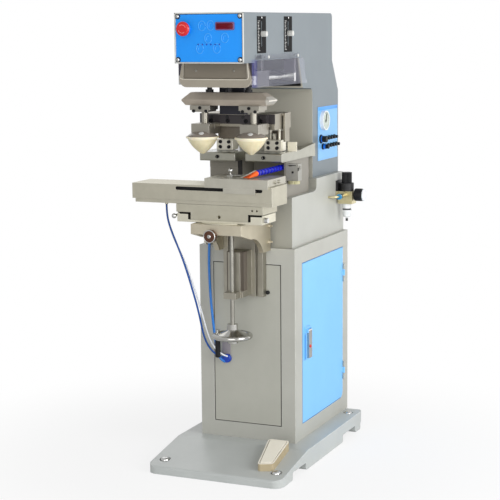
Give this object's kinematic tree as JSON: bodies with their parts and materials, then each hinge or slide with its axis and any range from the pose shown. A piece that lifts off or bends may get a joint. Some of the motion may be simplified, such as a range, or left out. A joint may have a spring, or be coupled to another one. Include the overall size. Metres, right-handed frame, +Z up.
{
  "type": "pad printing machine",
  "caption": "Floor standing pad printing machine: silicone pads on a sliding head pick ink from a cliche table and press it on parts held on a shuttle plate.",
  "frame": {"origin": "underside of the base's feet, midway across the machine, below the front face of the cabinet", "axes": "+Z up, -Y towards the operator, +X to the operator's right"},
  "size_m": [0.521, 0.79, 1.376],
  "materials": {
    "paint_grey": "satin gloss light grey casting paint",
    "paint_warm": "satin light warm grey sheet paint",
    "paint_sky": "light sky blue powder coat",
    "paint_blue": "strong blue panel face",
    "steel_bright": "polished bright steel",
    "steel_ground": "ground steel",
    "aluminium_pale": "satin anodised aluminium",
    "cast_paint": "bluish grey casting paint",
    "cast_alloy": "satin cast aluminium",
    "plate_dark": "lapped cliche steel",
    "plastic_black": "matt black plastic",
    "plastic_red": "glossy red cap",
    "plastic_clear": "clear acrylic",
    "bowl_clear": "clear polycarbonate",
    "gauge_white": "white dial and bezel",
    "hose_blue": "blue polyurethane tube",
    "hose_white": "white nylon tube",
    "hose_segment": "royal blue segmented hose with an orange tip",
    "brass_knob": "knurled brass",
    "copper_knob": "copper brown knurled ring",
    "silicone": "cream silicone",
    "cream_plate": "cream painted plate",
    "cream_pedal": "cream painted pedal",
    "pedal_brown": "speckled brown hammer paint",
    "frl_alloy": "silvery yellow die cast body",
    "chin_satin": "satin brown grey cover"
  },
  "bodies": {
    "frame": {"base_casting": "cast_paint", "levelling_bolts": "steel_bright", "cabinet_shell": "paint_warm", "front_access_panel": "paint_warm", "valve_manifold": "aluminium_pale", "power_inlet": "plastic_black", "neck_casting": "paint_grey", "table_pedestal": "paint_grey", "cliche_table": "steel_ground", "cliche_plates": "plate_dark", "side_stop_plate": "cream_plate", "nozzle_valve_block": "steel_ground", "air_nozzle": "hose_segment", "head_frame": "paint_grey", "control_panel_plate": "paint_blue", "chin_cover": "chin_satin", "scale_plates": "plastic_black", "side_guard": "plastic_clear", "carriage_rails": "steel_bright", "carriage_cylinder": "aluminium_pale", "knee_guide": "cast_alloy", "air_panel": "paint_sky", "pressure_gauges": "gauge_white", "flow_valves": "steel_bright", "frl_body": "frl_alloy", "frl_bowl": "bowl_clear", "air_elbow": "steel_bright", "pedal_base": "pedal_brown", "hose_fittings": "steel_bright", "hose_shuttle_blue": "hose_blue", "hose_shuttle_white": "hose_white", "hose_neck_blue": "hose_blue"},
    "door": {"side_door": "paint_sky"},
    "door_handle": {"door_handle": "steel_bright"},
    "knee": {"knee_casting": "cast_alloy"},
    "screw": {"lead_screw": "steel_bright", "handwheel": "steel_bright"},
    "wheel_handle": {"handwheel_handle": "plastic_black"},
    "knee_knob": {"knee_clamp_knob": "copper_knob"},
    "lower_slide": {"lower_slide": "cast_alloy"},
    "cross_slide": {"cross_slide": "cast_alloy"},
    "beam": {"shuttle_beam": "cast_alloy"},
    "plate": {"shuttle_plate": "aluminium_pale", "fixture_clamp": "steel_bright"},
    "slide_lever": {"slide_clamp_lever": "steel_bright"},
    "slide_knob": {"slide_clamp_knob": "steel_bright"},
    "carriage": {"carriage_block": "aluminium_pale", "blade_arm": "aluminium_pale"},
    "pad_unit": {"pad_bar": "aluminium_pale", "pad_holders": "steel_bright", "pad_left": "silicone", "pad_right": "silicone"},
    "blade_left": {"blade_head_left": "steel_ground"},
    "blade_right": {"blade_head_right": "steel_ground"},
    "estop": {"estop_button": "plastic_red"},
    "stroke_front": {"stroke_knob_front": "steel_bright"},
    "stroke_rear": {"stroke_knob_rear": "steel_bright"},
    "frl_knob": {"frl_knob": "plastic_black"},
    "valve_knob": {"nozzle_valve_knob": "brass_knob"},
    "treadle": {"pedal_treadle": "cream_pedal"}
  },
  "joints": [
    {"name": "door_hinge", "type": "hinge", "parent": "frame", "child": "door", "pos_m": [0.1636, 0.4252, 0], "axis": [0, 0, 1], "range_deg": [0, 110]},
    {"name": "door_handle_turn", "type": "hinge", "parent": "door", "child": "door_handle", "pos_m": [0.1679, 0.101, 0.399], "axis": [0, -1, 0], "range_deg": [0, 40]},
    {"name": "knee_lift", "type": "slide", "parent": "frame", "child": "knee", "axis": [0, 0, 1], "range_m": [-0.08, 0], "deforming": ["hose_shuttle_blue", "hose_shuttle_white"]},
    {"name": "lead_screw_turn", "type": "hinge", "parent": "knee", "child": "screw", "pos_m": [0, -0.11, 0], "axis": [0, 0, 1], "range_deg": [-7200, 7200]},
    {"name": "handwheel_handle_spin", "type": "hinge", "parent": "screw", "child": "wheel_handle", "pos_m": [-0.05, -0.11, 0.36], "axis": [0, 0, 1], "continuous": true},
    {"name": "knee_clamp_turn", "type": "hinge", "parent": "knee", "child": "knee_knob", "pos_m": [-0.015, -0.23, 0.73], "axis": [0, -1, 0], "range_deg": [-90, 0]},
    {"name": "slide_swivel", "type": "hinge", "parent": "knee", "child": "lower_slide", "pos_m": [0, -0.146, 0.777], "axis": [0, 0, 1], "range_deg": [-5, 5]},
    {"name": "cross_slide_feed", "type": "slide", "parent": "lower_slide", "child": "cross_slide", "axis": [0, 1, 0], "range_m": [-0.012, 0.012]},
    {"name": "beam_feed", "type": "slide", "parent": "cross_slide", "child": "beam", "axis": [1, 0, 0], "range_m": [-0.012, 0.012]},
    {"name": "shuttle_travel", "type": "slide", "parent": "beam", "child": "plate", "axis": [1, 0, 0], "range_m": [-0.156, 0]},
    {"name": "slide_lever_turn", "type": "hinge", "parent": "lower_slide", "child": "slide_lever", "pos_m": [-0.137, -0.165, 0.786], "axis": [1, 0, 0], "range_deg": [0, 30]},
    {"name": "slide_knob_turn", "type": "hinge", "parent": "lower_slide", "child": "slide_knob", "pos_m": [0.137, -0.182, 0.778], "axis": [1, 0, 0], "range_deg": [-90, 90]},
    {"name": "carriage_stroke", "type": "slide", "parent": "frame", "child": "carriage", "axis": [0, -1, 0], "range_m": [-0.16, 0]},
    {"name": "pad_stroke", "type": "slide", "parent": "carriage", "child": "pad_unit", "axis": [0, 0, -1], "range_m": [0, 0.05]},
    {"name": "blade_left_lift", "type": "slide", "parent": "carriage", "child": "blade_left", "axis": [0, 0, 1], "range_m": [0, 0.008]},
    {"name": "blade_right_lift", "type": "slide", "parent": "carriage", "child": "blade_right", "axis": [0, 0, 1], "range_m": [0, 0.008]},
    {"name": "estop_press", "type": "slide", "parent": "frame", "child": "estop", "axis": [0, 1, 0], "range_m": [0, 0.005], "stiffness_N_per_m": 1200, "springref_m": -0.002},
    {"name": "stroke_front_set", "type": "slide", "parent": "frame", "child": "stroke_front", "axis": [0, 0, 1], "range_m": [-0.03, 0.03]},
    {"name": "stroke_rear_set", "type": "slide", "parent": "frame", "child": "stroke_rear", "axis": [0, 0, 1], "range_m": [-0.03, 0.03]},
    {"name": "frl_knob_turn", "type": "hinge", "parent": "frame", "child": "frl_knob", "pos_m": [0.175, 0.42, 0.95], "axis": [0, 0, 1], "range_deg": [-180, 180]},
    {"name": "valve_knob_turn", "type": "hinge", "parent": "frame", "child": "valve_knob", "pos_m": [0.146, 0.031, 0.9], "axis": [0, 0, 1], "range_deg": [-180, 180]},
    {"name": "treadle_press", "type": "hinge", "parent": "frame", "child": "treadle", "pos_m": [0, -0.2, 0.0549], "axis": [-1, 0, 0], "range_deg": [0, 3.5], "stiffness_Nm_per_rad": 20, "springref_deg": -2.86}
  ],
  "couplings": [
    {"joint": "lead_screw_turn", "follows": "knee_lift", "rad_per_m": 1570.8}
  ]
}
